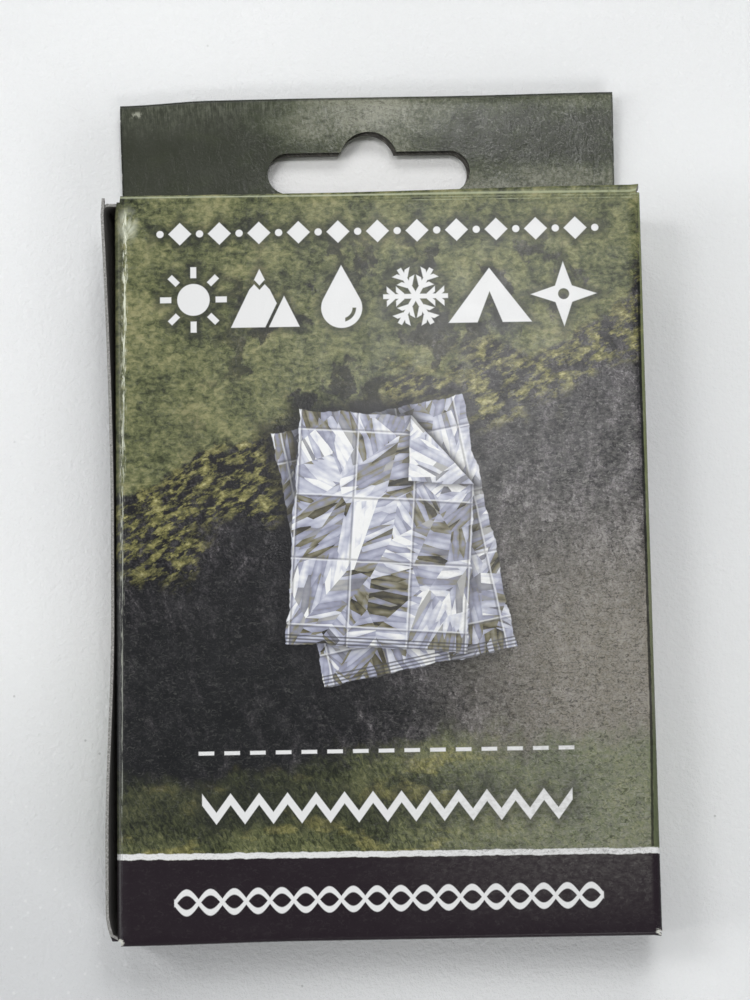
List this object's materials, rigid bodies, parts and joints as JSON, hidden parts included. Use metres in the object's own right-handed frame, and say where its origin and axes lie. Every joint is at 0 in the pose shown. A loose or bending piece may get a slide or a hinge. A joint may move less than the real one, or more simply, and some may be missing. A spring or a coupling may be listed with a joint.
{
  "type": "hang-tab folding carton",
  "caption": "Flat tuck-end paperboard carton for a folded foil blanket, with a doubled hang header and euro slot; both end lids open.",
  "frame": {"origin": "centre of the back panel's outer face, on which the closed carton lies", "axes": "+X right across the front panel, +Y up towards the hang header, +Z out of the front panel"},
  "size_m": [0.0816, 0.1315, 0.0175],
  "materials": {
    "printed_board": null,
    "header_board": null,
    "raw_board": null
  },
  "bodies": {
    "carton": {"sleeve": "printed_board", "header": "header_board", "top_left_dust_flap": "raw_board", "top_right_dust_flap": "raw_board", "bottom_left_dust_flap": "raw_board", "bottom_right_dust_flap": "raw_board"},
    "top_lid_body": {"top_lid": "printed_board"},
    "bottom_lid_body": {"bottom_lid": "printed_board"}
  },
  "joints": [
    {"name": "top_lid_crease", "type": "hinge", "parent": "carton", "child": "top_lid_body", "pos_m": [0, 0.0554, 0.0175], "axis": [1, 0, 0], "range_deg": [0, 150]},
    {"name": "bottom_lid_crease", "type": "hinge", "parent": "carton", "child": "bottom_lid_body", "pos_m": [0, -0.0554, 0.0175], "axis": [-1, 0, 0], "range_deg": [0, 150]}
  ]
}
